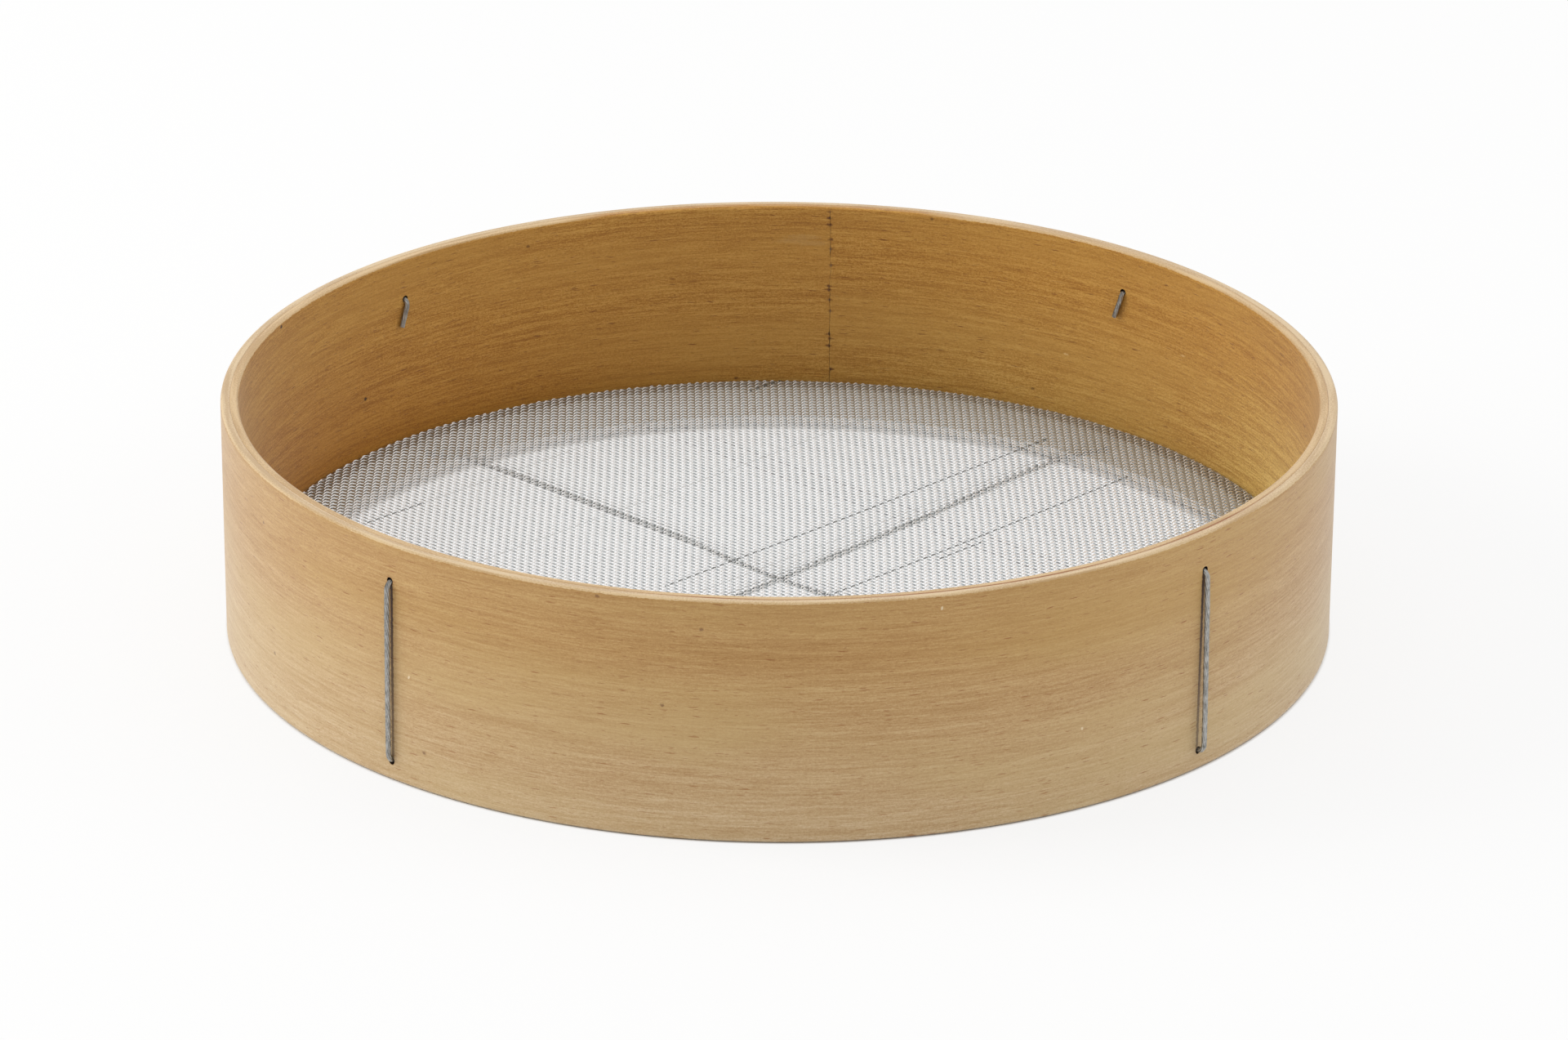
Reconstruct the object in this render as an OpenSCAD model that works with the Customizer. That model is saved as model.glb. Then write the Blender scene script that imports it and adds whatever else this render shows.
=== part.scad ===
// Tamis: a drum sieve with a two-ply bent beech hoop, woven wire mesh and two cross wires.
// Origin: centre of the hoop on the surface that it stands on. +Z is up, the sieve's user side.
// Azimuths are seen from above, anticlockwise from +X. The front of the sieve faces -Y.

/* [Hoop] */
// Outside diameter of the hoop
outer_d = 300; // [220:5:400]
// Height of the hoop
hoop_h = 65.5; // [50:0.5:90]
// Thickness of the outer ply
outer_ply_t = 2.5; // [1.5:0.1:4]
// Thickness of the inner ply
inner_ply_t = 2.4; // [1.5:0.1:4]
// Rounding of the hoop's four worn edges
edge_r = 0.8; // [0.3:0.1:1.4]
// Width of the butt joint where a bent strip's two ends meet
seam_gap = 0.3; // [0.2:0.1:1]
// Azimuth of the inner ply's butt joint
inner_seam_az = 84.2; // [70:0.1:120]
// Azimuth of the outer ply's butt joint
outer_seam_az = 118; // [100:1:130]

/* [Lower ring] */
// Radial thickness of the ring that clamps the mesh
ring_t = 6; // [4:0.5:12]
// Height of the ring
ring_h = 11; // [10:0.5:20]
// How far the ring sits above the hoop's lower edge
ring_recess = 0.6; // [0.3:0.1:1.5]
// Rounding of the ring's upper outer edge, over which the mesh is bent
shoulder_r = 1.5; // [0.8:0.1:3]
// Rounding of the ring's other edges
ring_edge_r = 0.5; // [0.2:0.1:0.7]
// Azimuth of the ring's butt joint
ring_seam_az = 262; // [235:1:300]

/* [Mesh] */
// Thickness of the woven mesh, two wires one above the other
mesh_t = 0.7; // [0.4:0.1:1.2]
// Bars each way in the coarse net that stands for the weave
net_bars = 17; // [7:2:17]
// Width of one bar, for the same weight of metal as the weave
net_bar_w = 1; // [0.8:0.1:3]
// Play between the mesh and the wood on each side
mesh_play = 0.05; // [0.02:0.01:0.2]
// Height of the mesh's turned-down edge above the ring's lower edge
hem_lift = 1.4; // [0.5:0.1:2]

/* [Cross wires] */
// Diameter of a twisted cross wire
wire_d = 1.4; // [0.8:0.1:1.6]
// Diameter of the holes that the wires pass through
hole_d = 2; // [1.8:0.1:2.6]
// Height of the four lower holes on the hoop's outside
low_hole_z = 5.3; // [4.5:0.1:6]
// Slope of the lower holes, rising inwards
low_hole_slope = 10.5; // [4:0.5:12]
// How far the two upper holes at the front lie below the upper rim
front_hole_drop = 10; // [7:0.5:15]
// How far the two upper holes at the back lie below the upper rim
back_hole_drop = 12; // [7:0.5:15]
// Distance of a front-left stitch's middle line from the hoop
left_stand_off = 1.1; // [0.9:0.1:2]
// Distance of a front-right stitch's middle line from the hoop
right_stand_off = 1.1; // [0.9:0.1:2]
// Length of the cut tails that are bent down inside the hoop
tail_l = 7.6; // [5:0.1:12]
// Radius of a wire's middle line at each bend
bend_r = 1.5; // [1.3:0.1:2]

/* [Hidden] */
$fn = 96;

outer_r = outer_d / 2;
ply_r = outer_r - outer_ply_t;
inner_r = ply_r - inner_ply_t;
mesh_space = mesh_t + 2 * mesh_play;
ring_out_r = inner_r - mesh_space;
ring_in_r = ring_out_r - ring_t;
ring_top = ring_recess + ring_h;
mesh_low = ring_top + mesh_play;
hem_low = ring_recess + hem_lift;
front_hole_z = hoop_h - front_hole_drop;
back_hole_z = hoop_h - back_hole_drop;

// Azimuths of the holes: wire a runs front left to back right, wire b front right to back left
a_front_low = 228.7;
a_front_up = 228.9;
a_back_low = 47.2;
a_back_up = 47.6;
b_front_low = 316.4;
b_front_up = 316.6;
b_back_low = 136.4;
b_back_up = 137.1;

// Turn of a cut tail round the hoop, in degrees
tail_turn = 0.9;
// Free space between a tail and the hoop's inner face, and how far that puts its middle line off
tail_play = 0.2;
tail_off = wire_d / 2 + tail_play;
// How far a stitch bows out between its two bends
stitch_bow = 0.12;
// How far each hole's cutter starts clear of the wood
cutter_start = 4;
// Points on one bend and sides of a wire
bend_points = 6;
wire_sides = 8;
// Length over which a cross wire levels out under the mesh, and steps on it
level_l = 34;
level_steps = 5;
// Half length of the dip with which wire b passes under wire a, and steps on it
dip_l = 40;
dip_steps = 4;
wire_play = 0.05;
wire_top = mesh_low - wire_play - wire_d / 2;
dip_depth = wire_d + wire_play;

function polar(r, az, z) = [r * cos(az), r * sin(az), z];
function flat_length(v) = sqrt(v.x * v.x + v.y * v.y);

// A bend in the plane of radius and height: from direction d0 to d1 degrees, radius b
function bend(r0, z0, d0, d1, b) = [
    for (i = [0:bend_points])
        let (d = d0 + (d1 - d0) * i / bend_points)
        [r0 + b * (sin(d) - sin(d0)), z0 + b * (cos(d0) - cos(d))]
];

// Points of a bend, all at one azimuth
function placed(pairs, az) = [for (p = pairs) polar(p[0], az, p[1])];

// Where a wire leaves its lower hole to turn up the outside
function turn_r(off) = outer_r + off - bend_r * (1 + sin(low_hole_slope));
function hole_height(r) = low_hole_z + (outer_r - r) * tan(low_hole_slope);

// One end of a wire, from inside the ring out, up the outside, in again and down the inside
function wire_end(low_az, up_az, up_z, off, turn) = concat(
    [polar(ring_in_r, low_az, hole_height(ring_in_r))],
    placed(bend(turn_r(off), hole_height(turn_r(off)), -low_hole_slope, 90, bend_r), low_az),
    [polar(outer_r + off + stitch_bow, (low_az * 2 + up_az) / 3, (low_hole_z * 2 + up_z) / 3)],
    [polar(outer_r + off + stitch_bow, (low_az + up_az * 2) / 3, (low_hole_z + up_z * 2) / 3)],
    placed(bend(outer_r + off, up_z - bend_r, 90, 180, bend_r), up_az),
    placed(bend(inner_r - tail_off + bend_r, up_z, 180, 270, bend_r), up_az),
    [polar(inner_r - tail_off, up_az + turn, up_z - tail_l)]
);

// Height of a wire at distance u inside the ring
function level_z(u) =
    let (low = hole_height(ring_in_r), k = 1 - min(u / level_l, 1))
    wire_top - (wire_top - low) * k * k;

// Stretch of a wire from the ring's inner face to where it runs level
function level_run(from, to) = [
    for (i = [1:level_steps])
        let (u = level_l * i / level_steps, f = u / flat_length(to - from))
        [from.x + (to.x - from.x) * f, from.y + (to.y - from.y) * f, level_z(u)]
];

// Dip of a wire round its own middle
function dip_run(from, to, depth) = [
    for (i = [-dip_steps:dip_steps])
        let (s = i / dip_steps, f = 0.5 + s * dip_l / flat_length(to - from), k = 1 - s * s)
        [from.x + (to.x - from.x) * f, from.y + (to.y - from.y) * f, wire_top - depth * k * k]
];

function back_to_front(list) = [for (i = [len(list) - 1:-1:0]) list[i]];

// A whole wire, from one tail's tip to the other
function wire_route(front_low, front_up, front_off, back_low, back_up, depth) =
    let (
        front = polar(ring_in_r, front_low, 0),
        back = polar(ring_in_r, back_low, 0)
    )
    concat(
        back_to_front(wire_end(front_low, front_up, front_hole_z, front_off, tail_turn)),
        level_run(front, back),
        dip_run(front, back, depth),
        back_to_front(level_run(back, front)),
        wire_end(back_low, back_up, back_hole_z, left_stand_off, tail_turn)
    );

function unit(v) = v / norm(v);
function heading(route, i) =
    unit(route[min(i + 1, len(route) - 1)] - route[max(i - 1, 0)]);

// A round bar swept along a route that stays near one upright plane
module swept(route, d, side_az) {
    side = [cos(side_az), sin(side_az), 0];
    rings = [
        for (i = [0:len(route) - 1])
            let (t = heading(route, i), b = unit(cross(t, side)), n = cross(b, t))
            for (j = [0:wire_sides - 1])
                let (a = 360 * j / wire_sides)
                route[i] + d / 2 * (cos(a) * n + sin(a) * b)
    ];
    last = (len(route) - 1) * wire_sides;
    walls = [
        for (i = [0:len(route) - 2], j = [0:wire_sides - 1], k = [0:1])
            let (
                p = i * wire_sides,
                q = p + wire_sides,
                j2 = (j + 1) % wire_sides
            )
            k == 0 ? [p + j, q + j, q + j2] : [p + j, q + j2, p + j2]
    ];
    caps = [
        for (j = [1:wire_sides - 2], k = [0:1])
            k == 0 ? [0, j, j + 1] : [last, last + j + 1, last + j]
    ];
    polyhedron(points = rings, faces = concat(walls, caps));
}

// An upright rectangle from its inner bottom corner, with a rounding of its own at each corner
module rounded_section(r, z, w, h, r_bi, r_bo, r_to, r_ti) {
    difference() {
        translate([r, z]) square([w, h]);
        corner_waste(r, z, r_bi, 1, 1);
        corner_waste(r + w, z, r_bo, -1, 1);
        corner_waste(r + w, z + h, r_to, -1, -1);
        corner_waste(r, z + h, r_ti, 1, -1);
    }
}

// What a rounding takes from the corner at r, z
module corner_waste(r, z, rounding, sr, sz) {
    if (rounding > 0)
        difference() {
            translate([r + sr * rounding / 2, z + sz * rounding / 2])
                square(rounding, center = true);
            translate([r + sr * rounding, z + sz * rounding]) circle(r = rounding);
        }
}

// A strip bent round to a hoop, with its butt joint at seam_az; joint_r is the radius there
module bent_strip(seam_az, joint_r) {
    gap_angle = seam_gap / joint_r * 180 / PI;
    rotate([0, 0, seam_az + gap_angle / 2]) rotate_extrude(angle = 360 - gap_angle) children();
}

// The holes that the wires pass through, low through all the wood, high through the hoop
module low_hole(az) {
    reach = outer_r - ring_in_r + 2 * cutter_start;
    rotate([0, 0, az])
        translate([outer_r, 0, low_hole_z])
            rotate([0, -90 + low_hole_slope, 0])
                translate([0, 0, -cutter_start]) cylinder(d = hole_d, h = reach);
}

module low_holes() {
    for (az = [a_front_low, a_back_low, b_front_low, b_back_low]) low_hole(az);
}

module high_hole(az, z) {
    rotate([0, 0, az])
        translate([inner_r - cutter_start, 0, z])
            rotate([0, 90, 0]) cylinder(d = hole_d, h = outer_r - inner_r + 2 * cutter_start);
}

module high_holes() {
    high_hole(a_front_up, front_hole_z);
    high_hole(b_front_up, front_hole_z);
    high_hole(a_back_up, back_hole_z);
    high_hole(b_back_up, back_hole_z);
}

module outer_hoop() {
    color([0.76, 0.61, 0.41])
        difference() {
            bent_strip(outer_seam_az, outer_r)
                rounded_section(ply_r, 0, outer_ply_t, hoop_h, 0, edge_r, edge_r, 0);
            low_holes();
            high_holes();
        }
}

module inner_hoop() {
    color([0.68, 0.5, 0.28])
        difference() {
            bent_strip(inner_seam_az, inner_r)
                rounded_section(inner_r, 0, inner_ply_t, hoop_h, edge_r, 0, 0, edge_r);
            low_holes();
            high_holes();
        }
}

module clamp_ring() {
    color([0.72, 0.55, 0.35])
        difference() {
            bent_strip(ring_seam_az, ring_in_r)
                rounded_section(ring_in_r, ring_recess, ring_t, ring_h,
                    ring_edge_r, ring_edge_r, shoulder_r, ring_edge_r);
            low_holes();
        }
}

// Section of the mesh's edge: a flat rim, the bend over the ring and the hem that is turned down
module mesh_edge_section(rim_r) {
    hem_in = ring_out_r + mesh_play;
    hem_out = hem_in + mesh_t;
    bend_in = shoulder_r + mesh_play;
    difference() {
        rounded_section(rim_r, hem_low, hem_out - rim_r, mesh_low + mesh_t - hem_low,
            0, 0, bend_in + mesh_t, 0);
        rounded_section(rim_r - 1, hem_low - 1, hem_in - rim_r + 1, mesh_low - hem_low + 1,
            0, 0, bend_in, 0);
    }
}

// The coarse net inside the rim: bars both ways at 45 degrees to the front
module net(net_r) {
    pitch = 2 * net_r / (net_bars + 1);
    half = (net_bars - 1) / 2;
    linear_extrude(mesh_t)
        intersection() {
            circle(r = net_r);
            for (turn = [45, -45], i = [-half:half])
                rotate(turn) translate([0, i * pitch]) square([2 * net_r, net_bar_w], center = true);
        }
}

module wire_mesh() {
    rim_r = ring_out_r - shoulder_r - 1;
    color([0.8, 0.81, 0.81])
        difference() {
            union() {
                rotate_extrude() mesh_edge_section(rim_r);
                translate([0, 0, mesh_low]) net(rim_r + 0.5);
            }
            low_holes();
        }
}

module cross_wire_a() {
    color([0.6, 0.61, 0.6])
        swept(
            wire_route(a_front_low, a_front_up, left_stand_off, a_back_low, a_back_up, 0),
            wire_d, a_back_low - 90);
}

module cross_wire_b() {
    color([0.6, 0.61, 0.6])
        swept(
            wire_route(b_front_low, b_front_up, right_stand_off, b_back_low, b_back_up, dip_depth),
            wire_d, b_back_low - 90);
}

outer_hoop();
inner_hoop();
clamp_ring();
wire_mesh();
cross_wire_a();
cross_wire_b();
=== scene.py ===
"""A wooden drum sieve: two bent beech plies, woven wire cloth on a clamp ring and two twisted wires."""

from math import cos, pi, radians, sin, tan

import bpy
import numpy as np
from mathutils import Matrix, Vector


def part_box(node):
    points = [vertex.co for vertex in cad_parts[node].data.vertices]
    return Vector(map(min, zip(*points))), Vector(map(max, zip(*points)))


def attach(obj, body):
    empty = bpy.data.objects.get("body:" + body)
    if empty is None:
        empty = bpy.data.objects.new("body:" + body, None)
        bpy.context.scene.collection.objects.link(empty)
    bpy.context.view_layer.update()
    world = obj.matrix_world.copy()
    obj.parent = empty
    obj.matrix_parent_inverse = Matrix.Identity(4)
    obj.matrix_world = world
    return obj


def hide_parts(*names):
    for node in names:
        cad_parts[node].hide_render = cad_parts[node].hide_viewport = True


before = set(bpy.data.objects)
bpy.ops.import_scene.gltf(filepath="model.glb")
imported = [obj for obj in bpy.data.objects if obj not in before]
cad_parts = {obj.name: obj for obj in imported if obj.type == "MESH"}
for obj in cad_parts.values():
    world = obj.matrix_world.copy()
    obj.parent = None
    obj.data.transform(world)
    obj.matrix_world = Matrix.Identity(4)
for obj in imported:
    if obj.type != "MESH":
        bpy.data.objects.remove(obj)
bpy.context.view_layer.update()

MM = 0.001
SEED = 7

# Sizes in millimetres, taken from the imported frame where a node's box gives them
OUTER_R = -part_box("outer_hoop")[0][1] / MM
HOOP_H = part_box("outer_hoop")[1][2] / MM
PLY_R = -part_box("inner_hoop")[0][1] / MM
INNER_PLY_T = 2.4
INNER_R = PLY_R - INNER_PLY_T
EDGE_R = 0.8
MESH_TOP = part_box("wire_mesh")[1][2] / MM
HEM_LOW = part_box("wire_mesh")[0][2] / MM
HEM_OUT_R = -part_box("wire_mesh")[0][1] / MM
RING_IN_R = 138.3
# Depth of the strip of mesh along the back wall through which the camera sees the clamp ring; there the wires
# take a painted reflection of the wood
REFLECTION_BAND_W = 23.0
INNER_SEAM_AZ = 84.2
OUTER_SEAM_AZ = 118.0

# Holes: height on the outside, and azimuth of each. The low ones rise inwards
HOLE_D = 2.0
LOW_HOLE_Z, LOW_HOLE_SLOPE = 5.3, 10.5
FRONT_HOLE_Z, BACK_HOLE_Z = HOOP_H - 10, HOOP_H - 12
A_FRONT_LOW, A_FRONT_UP, A_BACK_LOW, A_BACK_UP = 228.7, 228.9, 47.2, 47.6
B_FRONT_LOW, B_FRONT_UP, B_BACK_LOW, B_BACK_UP = 316.4, 316.6, 136.4, 137.1
LOW_HOLES = (A_FRONT_LOW, A_BACK_LOW, B_FRONT_LOW, B_BACK_LOW)
HIGH_HOLES = (
    (A_FRONT_UP, FRONT_HOLE_Z), (B_FRONT_UP, FRONT_HOLE_Z),
    (A_BACK_UP, BACK_HOLE_Z), (B_BACK_UP, BACK_HOLE_Z),
)


def polar(r, az, z):
    return np.array([r * cos(radians(az)), r * sin(radians(az)), z])


def unit(v):
    return v / np.linalg.norm(v, axis=-1, keepdims=True)


def make_object(name, points, faces, smooth=True):
    """A mesh object from points in millimetres and an array or list of faces."""
    mesh = bpy.data.meshes.new(name)
    if isinstance(faces, np.ndarray):
        count, sides = faces.shape
        mesh.vertices.add(len(points))
        mesh.vertices.foreach_set("co", (np.asarray(points) * MM).astype(np.float32).ravel())
        mesh.loops.add(count * sides)
        mesh.loops.foreach_set("vertex_index", faces.astype(np.int32).ravel())
        mesh.polygons.add(count)
        mesh.polygons.foreach_set("loop_start", np.arange(count, dtype=np.int32) * sides)
        mesh.update(calc_edges=True)
    else:
        mesh.from_pydata((np.asarray(points) * MM).tolist(), [], faces)
    mesh.validate()
    if smooth:
        mesh.polygons.foreach_set("use_smooth", np.ones(len(mesh.polygons), bool))
    made = bpy.data.objects.new(name, mesh)
    bpy.context.scene.collection.objects.link(made)
    return made


def mesh_points(made):
    found = np.empty(len(made.data.vertices) * 3, np.float32)
    made.data.vertices.foreach_get("co", found)
    return found.reshape(-1, 3).astype(float) / MM


def smooth_noise(rng, count, period, x):
    """Periodic noise over x in 0..period, made of count waves, about -1 to 1."""
    total = np.zeros_like(x)
    for k in range(1, count + 1):
        total += rng.normal() * np.sin(2 * pi * k * x / period + rng.uniform(0, 2 * pi)) / k ** 0.7
    return total / np.sqrt(count)


# Wood: the two plies of the hoop. How wavy the knife left a ply's faces and its rim
FACE_WAVE, RIM_WAVE = 0.03, 0.05
RIM_DEPTH = 1.2
# The chip in the inner ply's rim: azimuth, half width in degrees, reach from the inner face and depth
CHIP_AZ, CHIP_HALF, CHIP_REACH, CHIP_DEPTH = 94.2, 0.9, 1.3, 0.45
# The torn ends of a ply: step and depth of their line, reach round the hoop and half the gap between them
TORN_STEP, TORN_DEPTH, TORN_REACH, TORN_GAP = 1.4, 0.22, 2.4, 0.02
# Sharp corners of a ply are those that turn by more than this, in degrees
SHARP_TURN = 40
CUTTER_SIDES = 20
CUTTER_OUT, CUTTER_IN = 6, 12


def section(r_in, r_out, r_edges, rows):
    """Closed section of a ply as (r, z) points: up the inside, over the top, down the outside and back."""
    inside_edge, outside_edge = r_edges
    turn = np.linspace(0, pi / 2, 6)
    up = np.linspace(inside_edge, HOOP_H - inside_edge, rows)
    down = np.linspace(HOOP_H - outside_edge, outside_edge, rows)
    across = np.linspace(r_in + inside_edge, r_out - outside_edge, 6)[1:-1]
    parts = [
        np.stack([np.full(rows, r_in), up], 1),
        np.stack([r_in + inside_edge * (1 - np.cos(turn[1:])),
                  HOOP_H - inside_edge * (1 - np.sin(turn[1:]))], 1),
        np.stack([across, np.full(len(across), HOOP_H)], 1),
        np.stack([r_out - outside_edge * (1 - np.sin(turn)),
                  HOOP_H - outside_edge * (1 - np.cos(turn))], 1),
        np.stack([np.full(rows - 1, r_out), down[1:]], 1),
        np.stack([r_out - outside_edge * (1 - np.cos(turn[1:])),
                  outside_edge * (1 - np.sin(turn[1:]))], 1),
        np.stack([across[::-1], np.zeros(len(across))], 1),
        np.stack([r_in + inside_edge * (1 - np.sin(turn[:-1])),
                  inside_edge * (1 - np.cos(turn[:-1]))], 1),
    ]
    return np.concatenate(parts)


def seam_line(heights, rng, pits):
    """The jagged line along which a ply's two ends meet, in millimetres round the hoop, by height."""
    steps = np.arange(0, HOOP_H + TORN_STEP, TORN_STEP)
    line = np.interp(heights, steps, rng.uniform(-TORN_DEPTH, TORN_DEPTH, len(steps)))
    for z, offset, _ in pits:
        near = np.clip(1 - np.abs(heights - z) / 1.2, 0, 1)
        line = line * (1 - near) + offset * near
    return line


def ply(name, r_in, r_out, r_edges, rows, seam_az, pits, rng, glue_side, finish):
    """A bent strip whose ends meet at a torn butt joint, with its rim and faces a little uneven."""
    around = 2 * pi * PLY_R
    fine = np.cumsum([0, 0.25, 0.25, 0.3, 0.4, 0.5, 0.6, 0.8, 1.0, 1.2])
    coarse = np.linspace(fine[-1], around - fine[-1], 600)[1:-1]
    s = np.concatenate([fine, coarse, around - fine[::-1]])
    profile = section(r_in, r_out, r_edges, rows)
    count = len(profile)
    r = np.repeat(profile[None, :, 0], len(s), 0)
    z = np.repeat(profile[None, :, 1], len(s), 0)
    arc = np.repeat(s[:, None], count, 1)

    wave = FACE_WAVE * smooth_noise(rng, 40, around, s)[:, None] * np.cos(z / 21)
    r = r + wave
    top = np.clip((z - (HOOP_H - RIM_DEPTH)) / RIM_DEPTH, 0, 1)
    z = z - top * RIM_WAVE * (1 + smooth_noise(rng, 60, around, s))[:, None] * 0.5
    az = (seam_az + np.degrees(s / PLY_R)) % 360
    if glue_side == "in":
        # the inner ply's rim has a chipped edge left of its joint
        chip = np.exp(-((az - CHIP_AZ) / CHIP_HALF) ** 2)
        edge = top * np.clip(1 - (r - r_in) / CHIP_REACH, 0, 1)
        z = z - CHIP_DEPTH * chip[:, None] * edge

    # the torn ends
    line = seam_line(z, rng, pits)
    gap = np.full(z.shape, TORN_GAP)
    for height, _, width in pits:
        gap = np.maximum(gap, width / 5 * np.clip(1 - np.abs(z - height) / 0.4, 0, 1))
    start = np.clip(1 - arc / TORN_REACH, 0, 1)
    end = np.clip(1 - (around - arc) / TORN_REACH, 0, 1)
    arc = arc + (line + gap) * start + (line - gap) * end
    angle = np.radians(seam_az) + arc / PLY_R
    points = np.stack([r * np.cos(angle), r * np.sin(angle), z], -1).reshape(-1, 3)

    j, k = np.meshgrid(np.arange(len(s) - 1), np.arange(count), indexing="ij")
    k2 = (k + 1) % count
    quads = np.stack([j * count + k, j * count + k2, (j + 1) * count + k2, (j + 1) * count + k], -1)
    faces = quads.reshape(-1, 4).tolist()
    faces.append(list(range(count - 1, -1, -1)))
    faces.append([(len(s) - 1) * count + i for i in range(count)])
    made = make_object(name, points, faces)
    made.data.materials.append(finish)
    made.data.materials.append(HOLE_PAINTED_SHADE)
    drill(made)
    lay_grain(made, seam_az, r_in, r_out, glue_side)
    made.data.set_sharp_from_angle(angle=radians(SHARP_TURN))
    return made


def drill(made):
    """Cuts the eight holes of the stitches, whose walls take the second finish."""
    sides = CUTTER_SIDES
    cutters = []
    for az in LOW_HOLES:
        cutters.append((polar(OUTER_R, az, LOW_HOLE_Z), az, LOW_HOLE_SLOPE))
    for az, z in HIGH_HOLES:
        cutters.append((polar(OUTER_R, az, z), az, 0))
    points, faces = [], []
    for at, az, slope in cutters:
        axis = np.array([cos(radians(az)) * cos(radians(slope)), sin(radians(az)) * cos(radians(slope)),
                         -sin(radians(slope))])
        side = np.array([-sin(radians(az)), cos(radians(az)), 0])
        up = np.cross(axis, side)
        base = len(points)
        for reach in (CUTTER_OUT, -CUTTER_IN):
            for i in range(sides):
                a = 2 * pi * i / sides
                points.append(at + axis * reach + HOLE_D / 2 * (cos(a) * side + sin(a) * up))
        faces += [[base + i, base + sides + i, base + sides + (i + 1) % sides, base + (i + 1) % sides]
                  for i in range(sides)]
        faces.append([base + i for i in range(sides)])
        faces.append([base + sides + i for i in range(sides - 1, -1, -1)])
    cutter = make_object("hole_cutter", points, faces, smooth=False)
    cutter.data.polygons.foreach_set("material_index", np.ones(len(faces), np.int32))
    cut = made.modifiers.new("holes", "BOOLEAN")
    cut.operation = "DIFFERENCE"
    cut.solver = "EXACT"
    cut.object = cutter
    applied(made)
    bpy.data.objects.remove(cutter)


def applied(made):
    """Writes what the object's modifiers make into its mesh."""
    graph = bpy.context.evaluated_depsgraph_get()
    mesh = bpy.data.meshes.new_from_object(made.evaluated_get(graph))
    made.modifiers.clear()
    made.data = mesh


def lay_grain(made, seam_az, r_in, r_out, glue_side):
    """A map whose first coordinate runs with the grain and whose second runs across it, in millimetres."""
    mesh = made.data
    p = mesh_points(made)
    radius = np.hypot(p[:, 0], p[:, 1])
    angle = (np.degrees(np.arctan2(p[:, 1], p[:, 0])) - seam_az) % 360
    corner = np.empty(len(mesh.loops), np.int32)
    mesh.loops.foreach_get("vertex_index", corner)
    along = np.radians(angle) * PLY_R
    across = p[:, 2] + (radius - r_in if glue_side == "in" else r_out - radius)
    found = np.stack([along[corner], across[corner]], -1)
    # a face that straddles the joint's nominal line keeps its corners on one side
    around = 2 * pi * PLY_R
    starts = np.empty(len(mesh.polygons), np.int32)
    totals = np.empty(len(mesh.polygons), np.int32)
    mesh.polygons.foreach_get("loop_start", starts)
    mesh.polygons.foreach_get("loop_total", totals)
    low = np.minimum.reduceat(found[:, 0], starts)
    high = np.maximum.reduceat(found[:, 0], starts)
    torn = np.repeat((high - low) > around / 2, totals)
    share = np.repeat(np.add.reduceat((found[:, 0] > around / 2).astype(float), starts) / totals, totals)
    found[:, 0] += np.where(torn & (share >= 0.5) & (found[:, 0] < around / 2), around, 0)
    found[:, 0] -= np.where(torn & (share < 0.5) & (found[:, 0] > around / 2), around, 0)
    layer = mesh.uv_layers.new(name="grain")
    layer.uv.foreach_set("vector", found.astype(np.float32).ravel())


# Wire: strands, cables and cloth
def tubes(routes, radius, sides):
    """Points and faces of one tube per route; routes is a list of (points, normals) with rows in step."""
    points, faces, base = [], [], 0
    turn = 2 * pi * np.arange(sides) / sides
    for path, up in routes:
        count = len(path)
        t = unit(np.gradient(path, axis=0))
        side = unit(np.cross(t, up))
        lift = np.cross(side, t)
        ring = (path[:, None] + radius * (np.cos(turn)[None, :, None] * lift[:, None]
                                         + np.sin(turn)[None, :, None] * side[:, None]))
        points.append(ring.reshape(-1, 3))
        i, j = np.meshgrid(np.arange(count - 1), np.arange(sides), indexing="ij")
        j2 = (j + 1) % sides
        quads = np.stack([i * sides + j, i * sides + j2, (i + 1) * sides + j2, (i + 1) * sides + j], -1)
        faces.append(quads.reshape(-1, 4) + base)
        base += count * sides
    return np.concatenate(points), np.concatenate(faces)


# The weave: pitch, wire, how unevenly the wires lie in shares of the pitch, and points of a wire per pitch
PITCH = 1.5517
WIRE_D = 0.36
WIRE_SIDES = 5
JITTER = 0.012
STEPS_PER_PITCH = 3
# How far the middle line of a warp and of a weft wire swings above and below the cloth's middle
CRIMP = (0.72 * WIRE_D, 0.28 * WIRE_D)
# Turn of the weave beyond 45 degrees
WEAVE_TURN = 0.7
# The cloth lies in the middle of the solid mesh's thickness and ends a little above its hem
MESH_T = 0.7
SHOULDER_R = 1.9
FLAT_R = HEM_OUT_R - MESH_T / 2 - SHOULDER_R
MESH_MID = MESH_TOP - MESH_T / 2
HEM_Z = HEM_LOW + 0.3


def fold(x, y, rise):
    """Places flat cloth at x, y, rise on the mesh: flat, then bent over the ring's shoulder and down."""
    rho = np.hypot(x, y)
    past = np.clip(rho - FLAT_R, 0, None)
    bend = np.clip(past / SHOULDER_R, 0, pi / 2)
    down = np.clip(past - SHOULDER_R * pi / 2, 0, None)
    r = np.where(past > 0, FLAT_R, rho) + (SHOULDER_R + rise) * np.sin(bend)
    z = MESH_MID - SHOULDER_R + (SHOULDER_R + rise) * np.cos(bend) - down
    safe = np.maximum(rho, 1e-6)
    scale = r / safe
    up = np.stack([x / safe * np.sin(bend), y / safe * np.sin(bend), np.cos(bend)], -1)
    return np.stack([x * scale, y * scale, z], -1), up


def drift(x, y):
    """Small slow bends that the cloth took when it was stretched by hand, in millimetres."""
    return (0.7 * np.sin(x / 61 + 0.4) * np.cos(y / 83 - 0.7) + 0.35 * np.sin(y / 29 + x / 47),
            0.6 * np.cos(x / 71 - 1.1) * np.sin(y / 67 + 0.3) + 0.3 * np.sin(x / 33 - y / 52))


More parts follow.
